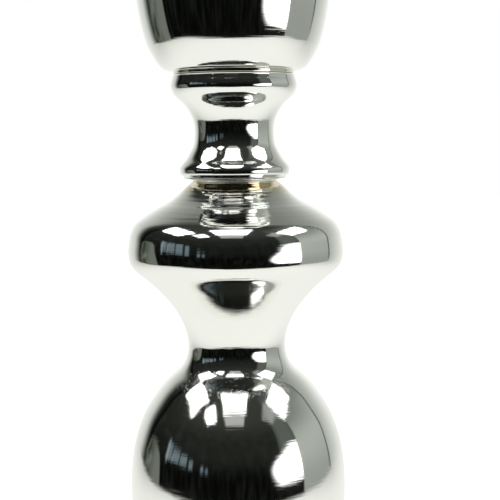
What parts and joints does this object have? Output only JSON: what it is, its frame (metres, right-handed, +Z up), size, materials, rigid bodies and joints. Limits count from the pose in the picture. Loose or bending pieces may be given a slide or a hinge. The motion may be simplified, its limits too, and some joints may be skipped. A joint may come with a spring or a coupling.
{
  "type": "candlestick",
  "caption": "Tall turned candlestick with a domed foot, belly, waist, onion-shaped knop, spool and vase-shaped cup, and a lift-off drip pan with a pricket.",
  "frame": {"origin": "on the axis, on the surface that the candlestick stands on", "axes": "+Z up along the axis of the turned sections"},
  "size_m": [0.164, 0.164, 0.4833],
  "materials": {
    "plated_casting": "cast, turned, nickel plated and polished to a mirror, with fine polishing lines",
    "seat_ring": "turned brass, nickel plated, slightly warm",
    "steel": "zinc plated, bright",
    "felt": "black wool felt"
  },
  "bodies": {
    "stand": {"felt_pad": "felt", "base_plate": "steel", "foot": "plated_casting", "bottom_nut": "steel", "bottom_spring_washer": "steel", "bottom_washer": "steel", "collar": "plated_casting", "lower_seat_ring": "seat_ring", "baluster": "plated_casting", "spool": "plated_casting", "upper_seat_ring": "seat_ring", "candle_cup": "plated_casting", "top_washer": "steel", "top_spring_washer": "steel", "top_nut": "steel", "tie_rod": "steel"},
    "pan": {"drip_pan": "plated_casting", "pan_spigot": "plated_casting", "pricket": "steel", "pricket_washer": "steel", "pricket_nut": "steel"}
  },
  "joints": [
    {"name": "pan_lift", "type": "slide", "parent": "stand", "child": "pan", "axis": [0, 0, 1], "range_m": [0, 0.03]}
  ]
}
